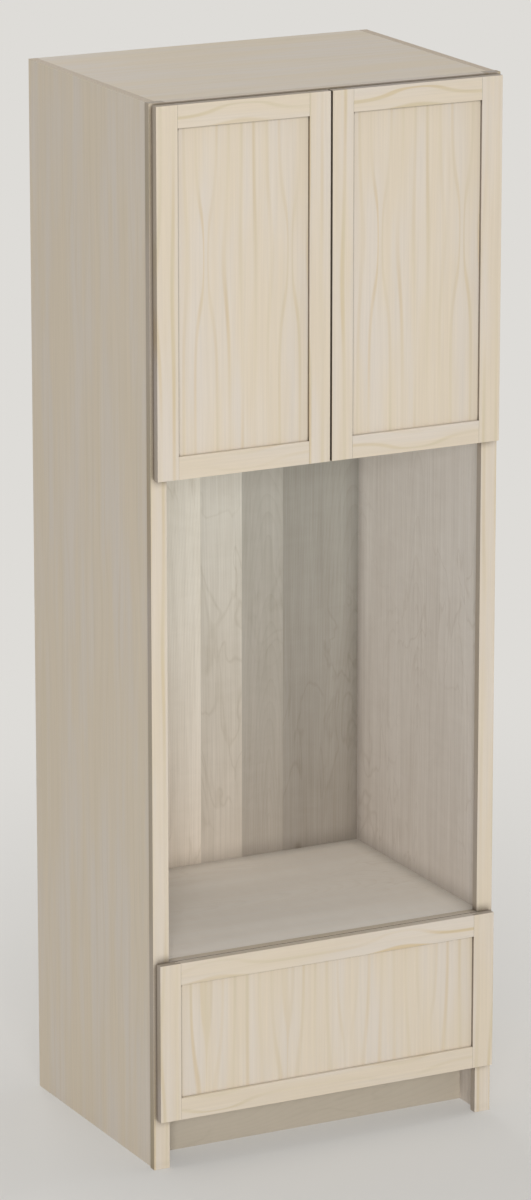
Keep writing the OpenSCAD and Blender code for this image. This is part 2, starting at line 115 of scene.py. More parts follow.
# Light and dark of a veneer, then wood and glue line of a plywood edge.
WALL_VENEER = (linear("#EBE6DF"), linear("#CEC5BA"))
BACK_VENEER = (linear("#FDF9ED"), linear("#DCD5C4"))
DECK_VENEER = (linear("#FDF8F0"), linear("#EAE1D5"))
TOE_VENEER = (linear("#C3B9A9"), linear("#B4AA99"))
BIRCH_VENEER = (linear("#E0D1B5"), linear("#D0BC99"))
MAPLE_PLIES = (linear("#D2C4B2"), linear("#BFAF9A"))
BIRCH_PLIES = (linear("#E2CFAA"), linear("#BFA67C"))
PIN_KNOT = linear("#AE9B80")
POLYURETHANE = (linear("#E9ECEA"), linear("#DADDD8"))

# -------------------- finish and figure

# How far the painted shade of a corner reaches, and how much of it shows on the inside boards.
PANEL_REACH = 7.8 * MM
INSIDE_REACH = 45 * MM
OUTSIDE_REACH = 3 * MM
INSIDE_SHADE = 0.42
# The figure on a sheet's outside is fainter than on solid maple. Faces that turn away
# from the outside by more than EDGE_ON keep the inside veneer.
OUTSIDE_STREAKS = 0.3
EDGE_ON = 0.1
# Turns the painted shade of the flat panels towards their top rails and left stiles.
PANEL_LEAN = (-1.15, 0.0, 0.48)
# Openness is 1 on an open face. The shade is full at the first value and gone at the
# second, or at the third where it leans.
SHADE_FULL = 0.42
SHADE_GONE = 0.97
LEANT_SHADE_GONE = 0.8
# Openness between a face that another piece covers at rest and one in an open corner.
COVERED = (0.05, 0.15)
# Heights between which the painted corner shade sets in over the floor, and the painted shade at
# the foot of the tall sheets fades out.
FLOOR_CLEAR = (4 * MM, 45 * MM)
FOOT_HEIGHTS = (0.47, 1.30)

# A clear matt coat on wood, thin enough to leave the fibre standing.
VARNISH_IOR = 1.5
VARNISH_SHEEN = 0.12
FIBRE_RELIEF = 0.12 * MM
POLYURETHANE_IOR = 1.49

# Rounding: points this near are one, and faces this flat are one, in degrees.
SAME_POINT = 0.005 * MM
FLAT_ANGLE = 0.5
SHARP_ANGLE = 50

# Nearly all of a noise lies in this range, and this is its middle.
NOISE_RANGE = {"From Min": 0.3, "From Max": 0.7}
NOISE_MIDDLE = 0.5

# Rings draw together at a waist, across over WAIST_SHARPNESS of its spacing, and spread
# a little beyond it. WAIST_PAIRING sets waists alternately nearer and further apart.
PINCH = 0.264
WAIST_SHARPNESS = 0.9
WAIST_SWELL = 3.0
SPREAD = 0.7
WAIST_PAIRING = -0.463
STREAK_WANDER = 13 * MM

# Plain-sliced veneer: ring lines, and the height of the arches that they draw.
RING_SPACING = 6 * MM
RING_SHARPNESS = 4.0
ARCH_SLOPE = 0.09
ARCH_HEIGHT = 30 * MM
ARCH_WANDER = 60 * MM
QUILT_LINE = 0.025
# Cells per metre, each with a pin knot in it, and the knot's outer and core size in a
# cell and the strength of its tone.
KNOT_CELLS = (5.5, 5.5, 3.1)
KNOT = (0.09, 0.02, 0.6)

# Settings of the nodes that mix two colours or multiply them.
MIXED = {"out": "Result", "data_type": "RGBA"}
MULTIPLIED = {"out": "Result", "data_type": "RGBA", "blend_type": "MULTIPLY"}

# -------------------- properties

COLOUR = {"subtype": "COLOR", "size": 4}


class WoodSettings(bpy.types.PropertyGroup):
    """Colours and grain sizes of the woods."""

    sapwood: FloatVectorProperty(
        name="Sapwood",
        description="Clear maple between the streaks",
        **COLOUR,
        default=linear("#DACDB9"),
    )
    heartwood: FloatVectorProperty(
        name="Heartwood",
        description="Cooler, pinkish maple between the streaks",
        **COLOUR,
        default=linear("#D9CFC2"),
    )
    ochre: FloatVectorProperty(
        name="Ochre streak",
        description="Warm ochre streaks along the growth rings",
        **COLOUR,
        default=linear("#D2BF9F"),
    )
    olive: FloatVectorProperty(
        name="Olive streak",
        description="Cooler olive stretches of the same streaks",
        **COLOUR,
        default=linear("#D1C5AB"),
    )
    veneer_light: FloatVectorProperty(
        name="Light veneer",
        description="Lightest leaf of the sliced veneer inside the case",
        **COLOUR,
        default=linear("#DCD6CE"),
    )
    veneer_dark: FloatVectorProperty(
        name="Dark veneer",
        description="Darkest leaf of the sliced veneer inside the case",
        **COLOUR,
        default=linear("#BDB3A6"),
    )
    streak_spacing: FloatProperty(
        name="Streak spacing",
        description="Distance between streaks on a flat-sawn face",
        unit="LENGTH",
        default=33 * MM,
    )
    waist_spacing: FloatProperty(
        name="Waist spacing",
        description="Distance across the grain between the places where rings draw together",
        unit="LENGTH",
        default=174 * MM,
    )
    waist_length: FloatProperty(
        name="Waist length",
        description="Distance along the grain from one drawn-in place to the next",
        unit="LENGTH",
        default=760 * MM,
    )
    fibre_width: FloatProperty(
        name="Fibre width",
        description="Width of the finest fibre lines, drawn coarser than real so that they show",
        unit="LENGTH",
        default=2.4 * MM,
    )
    leaf_width: FloatProperty(
        name="Veneer leaf",
        description="Width of one veneer leaf in the back panel",
        unit="LENGTH",
        default=104.5 * MM,
    )
    ply: FloatProperty(
        name="Ply",
        description="Thickness of one ply in a plywood edge",
        unit="LENGTH",
        default=1.46 * MM,
    )
    arris: FloatProperty(
        name="Arris",
        description="Width of the sanded round along every wooden edge",
        unit="LENGTH",
        default=0.5 * MM,
    )


class MetalSettings(bpy.types.PropertyGroup):
    """Colours of the hinges, slides and screws."""

    nickel: FloatVectorProperty(
        name="Nickel",
        description="Nickel plate on the pressed hinge parts",
        **COLOUR,
        default=linear("#D8D5CF"),
    )
    zinc: FloatVectorProperty(
        name="Zinc",
        description="Bright zinc plate on the rolled slide members",
        **COLOUR,
        default=linear("#C3C8CC"),
    )
    ball: FloatVectorProperty(
        name="Ball steel",
        description="Ground and polished steel of the balls",
        **COLOUR,
        default=linear("#C6C7C9"),
    )
    screw: FloatVectorProperty(
        name="Screw",
        description="Zinc plate on the screws",
        **COLOUR,
        default=linear("#CBC8BE"),
    )


class StageSettings(bpy.types.PropertyGroup):
    """Floor and lamps."""

    floor: FloatVectorProperty(
        name="Floor",
        description="Colour of the studio floor",
        **COLOUR,
        default=linear("#DEDCD8"),
    )
    front_lamp: FloatProperty(
        name="Front lamp",
        description="Power of the soft lamp in front of the cabinet",
        subtype="POWER",
        default=1008.0,
    )
    left_lamp: FloatProperty(
        name="Left lamp",
        description="Power of the soft lamp to the left of the cabinet",
        subtype="POWER",
        default=14.0,
    )
    right_lamp: FloatProperty(
        name="Right lamp",
        description="Power of the soft lamp to the right of the cabinet",
        subtype="POWER",
        default=130.0,
    )
    back_lamp: FloatProperty(
        name="Back lamp",
        description="Power of the soft lamp behind the cabinet",
        subtype="POWER",
        default=150.0,
    )
    top_lamp: FloatProperty(
        name="Top lamp",
        description="Power of the soft lamp above the cabinet",
        subtype="POWER",
        default=62.0,
    )
    room_light: FloatProperty(
        name="Room light",
        description="Strength of the even light from all round",
        default=0.33,
    )


# -------------------- shader tools


def feed(tree, node, inputs):
    """Links or fills inputs of a node."""
    for key, value in inputs.items():
        if isinstance(key, int):
            socket = node.inputs[key]
        else:
            socket = next(s for s in node.inputs if s.name == key and s.enabled)
        if isinstance(value, bpy.types.NodeSocket):
            tree.links.new(value, socket)
        else:
            socket.default_value = value


def add(tree, kind, inputs=None, out=0, **settings):
    """Adds one node with its settings, links or fills its inputs, and returns an output.

    inputs maps an input's name or number to an output or to a plain value. A name
    means the input that the node's settings leave in use. With out=None the whole
    node is returned.
    """
    node = tree.nodes.new("ShaderNode" + kind)
    for key, value in settings.items():
        setattr(node, key, value)
    feed(tree, node, inputs or {})
    if out is None:
        return node
    return node.outputs[out] if isinstance(out, int) else next(
        s for s in node.outputs if s.name == out and s.enabled
    )


def new_group(name, inputs, outputs):
    """Starts a group of nodes with named number inputs and outputs."""
    tree = bpy.data.node_groups.new(name, "ShaderNodeTree")
    for way, labels in (("INPUT", inputs), ("OUTPUT", outputs)):
        for label in labels:
            tree.interface.new_socket(label, in_out=way, socket_type="NodeSocketFloat")
    given = tree.nodes.new("NodeGroupInput").outputs
    return tree, [given[label] for label in inputs], tree.nodes.new("NodeGroupOutput").inputs


def new_material(name):
    """A material with its principled shader and output, and nothing else."""
    material = bpy.data.materials.new(name)
    material.use_nodes = True
    tree = material.node_tree
    tree.nodes.clear()
    shader = add(tree, "BsdfPrincipled", out=None)
    add(tree, "OutputMaterial", {"Surface": shader.outputs[0]}, out=None)
    return material, tree, shader


def dress(names, material):
    """Gives a material to pieces of the construction model."""
    for name in names:
        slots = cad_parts[name].data.materials
        slots.clear()
        slots.append(material)


def soften(names, width):
    """Rounds the edges of pieces a little, inside their own size.

    Corners of the model that lie together are joined and split flat faces made whole
    first, so that only true edges are rounded.
    """
    for name in names:
        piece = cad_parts[name]
        weld = piece.modifiers.new("joined_faces", "WELD")
        weld.merge_threshold = SAME_POINT
        flat = piece.modifiers.new("whole_faces", "DECIMATE")
        flat.decimate_type = "DISSOLVE"
        flat.angle_limit = math.radians(FLAT_ANGLE)
        bevel = piece.modifiers.new("softened_edges", "BEVEL")
        bevel.width = width
        bevel.segments = 2
        bevel.limit_method = "ANGLE"
        bevel.angle_limit = math.radians(SHARP_ANGLE)
        bevel.use_clamp_overlap = True
        normals = piece.modifiers.new("flat_faces", "WEIGHTED_NORMAL")
        normals.keep_sharp = False


# -------------------- wood patterns


def make_streaks():
    """Flat-sawn maple: growth rings that draw together at waists and part again.

    Streak is 1 in the middle of a streak, fibre is the fine line along the grain, and
    cloud is the slow change between sapwood and heartwood.
    """
    tree, given, out = new_group(
        "flat_sawn_streaks",
        ("Across", "Along", "Depth")
        + ("Spacing", "Waist Spacing", "Waist Length", "Fibre Width", "Seed"),
        ("Streak", "Fibre", "Cloud"),
    )
    across, along, depth, spacing, waist_spacing, waist_length, fibre_width, seed = given
    place = add(tree, "CombineXYZ", {"X": across, "Y": depth, "Z": along})
    per_fibre = add(tree, "Math", {0: 1.0, 1: fibre_width}, operation="DIVIDE")
    fibres = add(tree, "CombineXYZ", {"X": per_fibre, "Y": per_fibre, "Z": 7.0})
    noises = {}
    # marks per metre across, through and along the board, then scale and detail
    for label, marks, scale, detail in (
        ("wander", (7, 7, 1.3), 1.0, 0.6),
        ("patch", (16, 16, 2.2), 1.0, 1.0),
        ("fibre", fibres, 0.6, 3.0),
        ("cloud", (17, 17, 1.9), 1.3, 2.0),
    ):
        marked = add(tree, "VectorMath", {0: place, 1: marks}, operation="MULTIPLY")
        noise = {"Vector": marked, "W": seed, "Scale": scale, "Detail": detail}
        noises[label] = add(tree, "TexNoise", noise, noise_dimensions="4D")
    side_step = add(tree, "Math", {0: noises["wander"], 1: NOISE_MIDDLE}, operation="SUBTRACT")
    wandered = add(
        tree,
        "Math",
        {0: side_step, 1: STREAK_WANDER, 2: across},
        operation="MULTIPLY_ADD",
    )
    across_turn = add(tree, "Math", {0: across, 1: waist_spacing}, operation="DIVIDE")
    along_turn = add(tree, "Math", {0: along, 1: waist_length}, operation="DIVIDE")
    across_angle = add(
        tree, "Math", {0: across_turn, 1: math.tau, 2: math.pi}, operation="MULTIPLY_ADD"
    )
    half_angle = add(tree, "Math", {0: across_turn, 1: math.pi}, operation="MULTIPLY")
    pairing = add(tree, "Math", {0: half_angle}, operation="SINE")
    paired_angle = add(
        tree, "Math", {0: pairing, 1: WAIST_PAIRING, 2: across_angle}, operation="MULTIPLY_ADD"
    )
    across_sine = add(tree, "Math", {0: paired_angle}, operation="SINE")
    across_cosine = add(tree, "Math", {0: paired_angle}, operation="COSINE")
    narrowing = add(
        tree, "Math", {0: across_cosine, 1: -WAIST_SHARPNESS, 2: 1.0}, operation="MULTIPLY_ADD"
    )
    across_wave = add(tree, "Math", {0: across_sine, 1: narrowing}, operation="DIVIDE")
    along_angle = add(tree, "Math", {0: along_turn, 1: math.tau}, operation="MULTIPLY")
    along_cosine = add(tree, "Math", {0: along_angle}, operation="COSINE")
    along_share = add(tree, "MapRange", {"Value": along_cosine, "From Min": -1.0})
    along_swell = add(tree, "Math", {0: along_share, 1: WAIST_SWELL}, operation="POWER")
    along_wave = add(
        tree, "Math", {0: along_swell, 1: 1 + SPREAD, 2: -SPREAD}, operation="MULTIPLY_ADD"
    )
    pinch = add(tree, "Math", {0: across_wave, 1: along_wave}, operation="MULTIPLY")
    pinch_size = add(tree, "Math", {0: waist_spacing, 1: PINCH / math.tau}, operation="MULTIPLY")
    ring = add(tree, "Math", {0: pinch, 1: pinch_size, 2: wandered}, operation="MULTIPLY_ADD")
    ring_count = add(tree, "Math", {0: ring, 1: spacing}, operation="DIVIDE")
    # runs from 0 half-way between two streaks to 0.5 in the middle of one
    peak = add(tree, "Math", {0: ring_count, 1: 0.5}, operation="PINGPONG")
    line = add(
        tree,
        "MapRange",
        {"Value": peak, "From Min": 0.3, "From Max": 0.47},
        interpolation_type="SMOOTHSTEP",
    )
    limits = {"From Min": 0.36, "From Max": 0.7, "To Min": 0.12, "To Max": 0.9}
    strength = add(tree, "MapRange", {"Value": noises["patch"], **limits})
    streak = add(tree, "Math", {0: line, 1: strength}, operation="MULTIPLY")
    for result, end in zip((streak, noises["fibre"], noises["cloud"]), out):
        tree.links.new(result, end)


def make_sliced():
    """Plain-sliced maple veneer: nested ring lines, curl, quilted patches and pin knots."""
    tree, given, out = new_group(
        "plain_sliced_figure",
        ("Across", "Along", "Depth", "Seed"),
        ("Line", "Curl", "Quilt", "Fibre", "Knot", "Cloud"),
    )
    across, along, depth, seed = given
    place = add(tree, "CombineXYZ", {"X": across, "Y": depth, "Z": along})
    noises = {}
    # marks per metre across, through and along the board, then detail and distortion
    for label, marks, detail, bend in (
        ("slow", (5, 5, 2.2), 2.0, 0.0),
        ("curl", (12, 12, 26), 2.0, 1.2),
        ("fibre", (150, 150, 5), 4.0, 0.0),
        ("cloud", (13, 13, 1.4), 3.0, 0.0),
        ("quilt", (12, 12, 4), 2.0, 1.2),
        ("quilt patch", (3.1, 3.1, 2.3), 0.0, 0.0),
    ):
        marked = add(tree, "VectorMath", {0: place, 1: marks}, operation="MULTIPLY")
        noise = {"Vector": marked, "W": seed, "Scale": 1.0, "Detail": detail, "Distortion": bend}
        noises[label] = add(tree, "TexNoise", noise, noise_dimensions="4D")
    rise = add(tree, "Math", {0: along, 1: ARCH_SLOPE, 2: ARCH_HEIGHT}, operation="MULTIPLY_ADD")
    height = add(
        tree, "Math", {0: noises["slow"], 1: ARCH_WANDER, 2: rise}, operation="MULTIPLY_ADD"
    )
    height_squared = add(tree, "Math", {0: height, 1: height}, operation="MULTIPLY")
    squares = add(tree, "Math", {0: across, 1: across, 2: height_squared}, operation="MULTIPLY_ADD")
    radius = add(tree, "Math", {0: squares}, operation="SQRT")
    ring_count = add(tree, "Math", {0: radius, 1: RING_SPACING}, operation="DIVIDE")
    within = add(tree, "Math", {0: ring_count}, operation="FRACT")
    line = add(tree, "Math", {0: within, 1: RING_SHARPNESS}, operation="POWER")
    bend = add(tree, "Math", {0: noises["quilt"], 1: NOISE_MIDDLE}, operation="SUBTRACT")
    bend_size = add(tree, "Math", {0: bend}, operation="ABSOLUTE")
    bend_line = add(tree, "MapRange", {"Value": bend_size, "From Min": QUILT_LINE, "From Max": 0.0})
    quilted = add(
        tree, "MapRange", {"Value": noises["quilt patch"], "From Min": 0.47, "From Max": 0.6}
    )
    quilt = add(tree, "Math", {0: bend_line, 1: quilted}, operation="MULTIPLY")
    cells = add(tree, "VectorMath", {0: place, 1: KNOT_CELLS}, operation="MULTIPLY")
    cell = {"Vector": cells, "W": seed, "Scale": 1.0}
    knot_distance = add(tree, "TexVoronoi", cell, voronoi_dimensions="4D")
    outer, core, depth_of_tone = KNOT
    knot = add(
        tree,
        "MapRange",
        {"Value": knot_distance, "From Min": outer, "From Max": core, "To Max": depth_of_tone},
        interpolation_type="SMOOTHSTEP",
    )
    results = (line, noises["curl"], quilt, noises["fibre"], knot, noises["cloud"])
    for result, end in zip(results, out):
        tree.links.new(result, end)


def board_place(tree, axes, centre):
    """Distances across the grain, along it and through the board, from its centre."""
    place = add(tree, "TexCoord", out="Object")
    moved = add(tree, "VectorMath", {0: place, 1: centre}, operation="SUBTRACT")
    parts = add(tree, "SeparateXYZ", {0: moved}, out=None).outputs
    return [parts[axis] for axis in axes]


def axis_value(tree, axis, of="Object"):
    """One axis of a point's place in the object, or of its Normal."""
    return add(tree, "SeparateXYZ", {0: add(tree, "TexCoord", out=of)}, out=axis)


def facing(tree, axis):
    """1 on the two broad faces that look along an axis, 0 on the edges."""
    size = add(tree, "Math", {0: axis_value(tree, axis, "Normal")}, operation="ABSOLUTE")
    return add(tree, "MapRange", {"Value": size, "From Min": 0.55, "From Max": 0.8})


def finish_wood(tree, shader, colour, fibre, reach, most=1.0, lean=None):
    """Matt sanded wood: raised fibre, and a painted shade within reach of its corners.

    The painted shade darkens a corner by how open it is, but neither on faces that another
    piece covers at rest nor next to the floor. most is the largest share of the shade. With
    lean the painted shade gathers against the edges on that side.
    """
    shade = add(tree, "MapRange", {"Value": fibre, **NOISE_RANGE, "To Min": 0.965, "To Max": 1.03})
    shaded = add(tree, "Mix", {"Factor": 1.0, "A": colour, "B": shade}, **MULTIPLIED)
    around = {"Distance": reach}
    if lean:
        normal = add(tree, "TexCoord", out="Normal")
        leant = add(tree, "VectorMath", {0: normal, 1: lean}, operation="ADD")
        around["Normal"] = add(
            tree,
            "VectorTransform",
            {"Vector": leant},
            vector_type="NORMAL",
            convert_from="OBJECT",
            convert_to="WORLD",
        )
    # painted shade: occlusion by nearby pieces darkens the colour in corners and gaps
    openness = add(tree, "AmbientOcclusion", around, out="AO", samples=8)
    gone = LEANT_SHADE_GONE if lean else SHADE_GONE
    limits = {"From Min": SHADE_FULL, "From Max": gone, "To Min": most, "To Max": 0.0}
    shade_share = add(tree, "MapRange", {"Value": openness, **limits})
    for value, (low, high) in ((openness, COVERED), (axis_value(tree, "Z"), FLOOR_CLEAR)):
        limit = add(tree, "MapRange", {"Value": value, "From Min": low, "From Max": high})
        shade_share = add(tree, "Math", {0: shade_share, 1: limit}, operation="MULTIPLY")
    shaded = add(tree, "Mix", {"Factor": shade_share, "A": shaded, "B": CORNER_SHADE}, **MULTIPLIED)
    rough = add(tree, "MapRange", {"Value": fibre, **NOISE_RANGE, "To Min": 0.52, "To Max": 0.64})
    bump = add(tree, "Bump", {"Height": fibre, "Strength": 0.35, "Distance": FIBRE_RELIEF})
    feed(tree, shader, {"Base Color": shaded, "Roughness": rough, "Normal": bump})
    feed(tree, shader, {"IOR": VARNISH_IOR, "Specular IOR Level": VARNISH_SHEEN})


def flat_sawn(tree, axes, centre, seed, strength=1.0, length=1.0):
    """Colour and fibre of flat-sawn maple."""
    wood = bpy.context.scene.cabinet_wood
    across, along, depth = board_place(tree, axes, centre)
    figure = add(
        tree,
        "Group",
        node_tree=bpy.data.node_groups["flat_sawn_streaks"],
        inputs={
            "Across": across,
            "Along": along,
            "Depth": depth,
            "Spacing": wood.streak_spacing,
            "Waist Spacing": wood.waist_spacing,
            "Waist Length": wood.waist_length * length,
            "Fibre Width": wood.fibre_width,
            "Seed": seed,
        },
        out=None,
    ).outputs
    heart_share = add(
        tree,
        "MapRange",
        {"Value": figure["Cloud"], "From Min": 0.35, "From Max": 0.68},
        interpolation_type="SMOOTHSTEP",
    )
    streak_share = add(tree, "Math", {0: figure["Streak"], 1: strength}, operation="MULTIPLY")
    streak = add(tree, "Mix", {"Factor": heart_share, "A": wood.olive, "B": wood.ochre}, **MIXED)
    colour = wood.sapwood
    for share, tint in ((heart_share, wood.heartwood), (streak_share, streak)):
        colour = add(tree, "Mix", {"Factor": share, "A": colour, "B": tint}, **MIXED)
    return colour, figure["Fibre"]


def sliced(tree, axes, centre, seed, veneer, leaves=()):
    """Colour and fibre of a plain-sliced veneer, in one piece or in jointed leaves.

    leaves gives each leaf's lightness, and centre is then on the first leaf's start.
    """
    across, along, depth = board_place(tree, axes, centre)
    if leaves:
        leaf = bpy.context.scene.cabinet_wood.leaf_width
        count = add(tree, "Math", {0: across, 1: leaf}, operation="DIVIDE")
        number = add(tree, "Math", {0: count}, operation="FLOOR")
        within = add(tree, "Math", {0: count}, operation="FRACT")
        # the heart of each leaf's arches lies anywhere from left of it to right of it
        heart = add(tree, "TexWhiteNoise", {"W": number}, noise_dimensions="1D")
        heart_place = add(
            tree, "MapRange", {"Value": heart, "To Min": -1.2, "To Max": 2.2}, clamp=False
        )
        offset = add(tree, "Math", {0: within, 1: heart_place}, operation="SUBTRACT")
        across = add(tree, "Math", {0: offset, 1: leaf}, operation="MULTIPLY")
        seed = add(tree, "Math", {0: number, 1: 0.31, 2: seed}, operation="MULTIPLY_ADD")
        share = add(tree, "Math", {0: count, 1: len(leaves)}, operation="DIVIDE")
        tones = add(tree, "ValToRGB", {"Fac": share}, out=None)
        tones.color_ramp.interpolation = "CONSTANT"
        steps = tones.color_ramp.elements
        steps.remove(steps[1])
        for turn, tone in enumerate(leaves):
            step = steps[0] if turn == 0 else steps.new(turn / len(leaves))
            step.color = (tone, tone, tone, 1)
    figure = add(
        tree,
        "Group",
        node_tree=bpy.data.node_groups["plain_sliced_figure"],
        inputs={"Across": across, "Along": along, "Depth": depth, "Seed": seed},
        out=None,
    ).outputs
    light, dark = veneer
    share = 0.2
    # how far each part of the figure takes the colour from light to dark
    for part, neutral, weight in (
        ("Line", 0.0, 0.2),
        ("Curl", NOISE_MIDDLE, 0.3),
        ("Quilt", 0.0, 0.3),
        ("Fibre", NOISE_MIDDLE, 0.9),
        ("Cloud", NOISE_MIDDLE, 0.8),
    ):
        size = add(tree, "Math", {0: figure[part], 1: neutral}, operation="SUBTRACT")
        share = add(tree, "Math", {0: size, 1: weight, 2: share}, operation="MULTIPLY_ADD")
    share = add(tree, "Clamp", {"Value": share})
    colour = light
    for factor, tint in ((share, dark), (figure["Knot"], PIN_KNOT)):
        colour = add(tree, "Mix", {"Factor": factor, "A": colour, "B": tint}, **MIXED)
    if leaves:
        tone = tones.outputs["Color"]
        colour = add(tree, "Mix", {"Factor": 1.0, "A": colour, "B": tone}, **MULTIPLIED)
    return colour, figure["Fibre"]


def ply_edge(tree, axis, first, plies):
    """Colour of a cut plywood edge, its plies counted from the board's first face."""
    core, glue = plies
    through = add(tree, "Math", {0: axis_value(tree, axis), 1: first}, operation="SUBTRACT")
    ply = bpy.context.scene.cabinet_wood.ply
    count = add(tree, "Math", {0: through, 1: ply}, operation="DIVIDE")
    turn = add(tree, "Math", {0: count, 1: 1.0}, operation="PINGPONG")
    layer = add(
        tree,
        "MapRange",
        {"Value": turn, "From Min": 0.42, "From Max": 0.58},
        interpolation_type="SMOOTHSTEP",
    )
    striped = add(tree, "Mix", {"Factor": layer, "A": core, "B": glue}, **MIXED)
    place = add(tree, "TexCoord", out="Object")
    sawn = add(tree, "TexNoise", {"Vector": place, "Scale": 210.0, "Detail": 3.0})
    shade = add(tree, "MapRange", {"Value": sawn, **NOISE_RANGE, "To Min": 0.86, "To Max": 1.08})
    return add(tree, "Mix", {"Factor": 1.0, "A": striped, "B": shade}, **MULTIPLIED)


def sanded_maple(
    piece, axes, centre, seed, reach, strength=1.0, edge=1.0, length=1.0, lean=None
):
    """Dresses a piece in solid maple, planed, shaped and sanded, with a clear matt coat.

    To the eye it is creamy and even, with soft ochre streaks along the rings, greyer
    heartwood between them and fine fibre. Its shaped edges are darkened with painted
    shade. strength is for its streaks, edge is how much darker than the face its edges
    are painted, and length stretches its figure along the grain.
    """
    material, tree, shader = new_material(f"sanded maple {piece}")
    colour, fibre = flat_sawn(tree, axes, centre, seed, strength, length)
    broad_share = facing(tree, axes[2])
    # painted shade: the edges that face across the board are darkened by edge
    edge_painted_shade_share = add(tree, "Math", {0: broad_share, 1: -edge, 2: edge}, operation="MULTIPLY_ADD")
    colour = add(tree, "Mix", {"Factor": edge_painted_shade_share, "A": colour, "B": EDGE_PAINTED_SHADE}, **MULTIPLIED)
    finish_wood(tree, shader, colour, fibre, reach, lean=lean)
    dress([piece], material)


def faced_plywood(
    kind,
    piece,
    axes,
    seed,
    veneer=None,
    plies=MAPLE_PLIES,
    shown=0,
    leaves=(),
    start=None,
    reach=INSIDE_REACH,
    foot=None,
):
    """Dresses a piece in plywood with sanded veneer faces, unfilled at its cut edges.

    To the eye an inside face has fine nested ring lines, a curl that comes and goes and
    a few pin knots, and a wide panel shows its leaves as steps of tone. A face that is
    shown outside is a better veneer, cut like the doors. Cut edges show the plies as
    thin stripes. shown is the sign of the outside face along the board's depth, start is
    where the first leaf begins, and foot is a painted shade, darker and warmer towards
    the foot of a tall sheet, so that the sheet reads lighter higher up.
    """
    wood = bpy.context.scene.cabinet_wood
    material, tree, shader = new_material(f"{kind} plywood {piece}")
    centre = middle(piece)
    if leaves:
        centre.x = start
    # the largest share of painted corner shade on an inside face
    most = INSIDE_SHADE
    veneer = veneer or (wood.veneer_light, wood.veneer_dark)
    colour, fibre = sliced(tree, axes, centre, seed, veneer, leaves)
    # painted shade: darker and warmer towards the foot, so the sheet reads lighter higher up
    if foot:
        low, high = FOOT_HEIGHTS
        height = axis_value(tree, "Z")
        share = add(tree, "MapRange", {"Value": height, "From Min": high, "From Max": low})
        colour = add(tree, "Mix", {"Factor": share, "A": colour, "B": foot}, **MULTIPLIED)
    if shown:
        outside, fibre = flat_sawn(tree, axes, centre, seed, strength=OUTSIDE_STREAKS)
        side = axis_value(tree, axes[2], "Normal")
        limits = {"From Min": -EDGE_ON * shown, "From Max": EDGE_ON * shown}
        share = add(tree, "MapRange", {"Value": side, **limits})
        colour = add(tree, "Mix", {"Factor": share, "A": colour, "B": outside}, **MIXED)
        # the outside face takes the full painted corner shade within a short reach
        reach = add(tree, "MapRange", {"Value": share, "To Min": reach, "To Max": OUTSIDE_REACH})
        most = add(tree, "MapRange", {"Value": share, "To Min": INSIDE_SHADE})
    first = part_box(piece)[0]["XYZ".index(axes[2])]
    edge = ply_edge(tree, axes[2], first, plies)
    colour = add(tree, "Mix", {"Factor": facing(tree, axes[2]), "A": edge, "B": colour}, **MIXED)
    finish_wood(tree, shader, colour, fibre, reach, most)
    dress([piece], material)


# -------------------- metals and plastic


def plated_metal(name, colour, rough, grain, mark, relief, dulled):
    """Plated or polished steel with a surface that is never quite even.

    grain is the size in mm of its surface marks, stretched by mark and relief mm deep.
    dulled is how bright its duller clouds stay.
    """
    material, tree, shader = new_material(name)
    place = add(tree, "TexCoord", out="Object")
    stretch = tuple(s / (grain * MM) for s in mark)
    stretched = add(tree, "VectorMath", {0: place, 1: stretch}, operation="MULTIPLY")
    marks = add(tree, "TexNoise", {"Vector": stretched, "Scale": 1.0, "Detail": 3.0})
    dull = add(tree, "TexNoise", {"Vector": place, "Scale": 45.0, "Detail": 2.0})
    darker = [c * dulled for c in colour[:3]] + [1.0]
    clouds = add(tree, "MapRange", {"Value": dull, "From Min": 0.35, "From Max": 0.7})
    shade = add(tree, "Mix", {"Factor": clouds, "A": list(colour), "B": darker}, **MIXED)
    limits = {"To Min": rough * 0.8, "To Max": rough * 1.3}
    roughness = add(tree, "MapRange", {"Value": marks, **NOISE_RANGE, **limits})
    bump = add(tree, "Bump", {"Height": marks, "Strength": 0.25, "Distance": relief * MM})
    feed(tree, shader, {"Base Color": shade, "Roughness": roughness, "Normal": bump})
    feed(tree, shader, {"Metallic": 1.0})
    return material


def clear_polyurethane():
    """Cast polyurethane, clear and soft: a milky drop that picks up the wood behind it."""
    material, tree, shader = new_material("cast clear polyurethane")
    place = add(tree, "TexCoord", out="Object")
    haze = add(tree, "TexNoise", {"Vector": place, "Scale": 420.0, "Detail": 2.0})
    clear, milky = POLYURETHANE
    colour = add(tree, "Mix", {"Factor": haze, "A": clear, "B": milky}, **MIXED)
    rough = add(tree, "MapRange", {"Value": haze, "To Min": 0.12, "To Max": 0.3})
    feed(tree, shader, {"Base Color": colour, "Roughness": rough})
    feed(tree, shader, {"IOR": POLYURETHANE_IOR, "Transmission Weight": 0.7})
    return material


# -------------------- operators


def middle(name):
    """The centre of a piece at rest."""
    low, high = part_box(name)
    return (low + high) / 2


def member(name, axes, seed, shift, strength, edge, reach, along=0.0):
    """Dresses a stile or rail, with the middle of its figure moved across and along."""
    centre = middle(name)
    centre["XYZ".index(axes[0])] += shift
    centre["XYZ".index(axes[1])] += along
    # rails show shorter arches than stiles
    length = 0.6 if axes == LEVEL_FRONT else 1.0
    sanded_maple(name, axes, centre, seed, reach, strength, edge, length)


